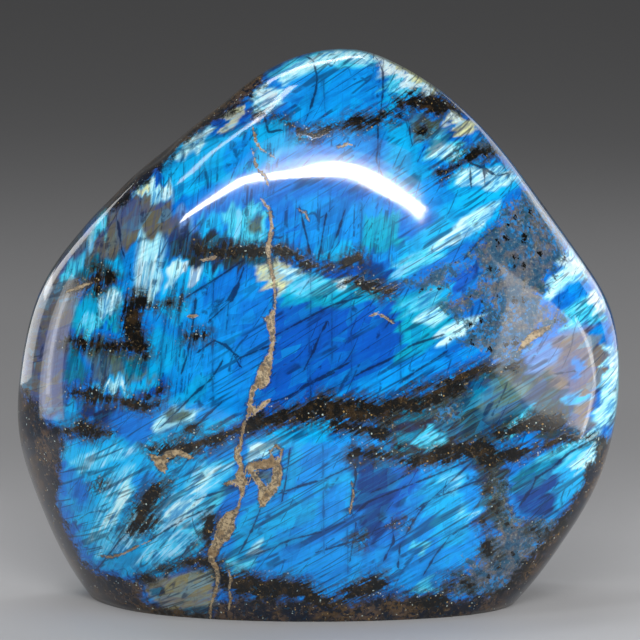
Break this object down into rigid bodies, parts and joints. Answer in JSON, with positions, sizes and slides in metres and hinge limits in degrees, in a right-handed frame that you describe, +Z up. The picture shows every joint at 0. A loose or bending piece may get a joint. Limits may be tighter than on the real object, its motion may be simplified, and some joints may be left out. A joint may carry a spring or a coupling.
{
  "type": "polished labradorite freeform",
  "caption": "Polished freeform of labradorite with a blue flash, dark fractures and a tan vein, ground to soft facets and cut flat underneath so that it stands by itself.",
  "frame": {"origin": "bottom centre of the stone's box, on the plane of its flat base", "axes": "+Z up from the flat base. The broad polished face looks along -Y and leans back a little, and +X is to its right as it is looked at."},
  "size_m": [0.115, 0.0452, 0.1066],
  "materials": {
    "labradorite": "polished to a glassy gloss; blue to cyan flash in fine parallel streaks, crossed by dark brown fractures, a grey-brown matrix with black grains, and duller tan veins"
  },
  "bodies": {
    "root": {"stone": "labradorite"}
  },
  "joints": []
}
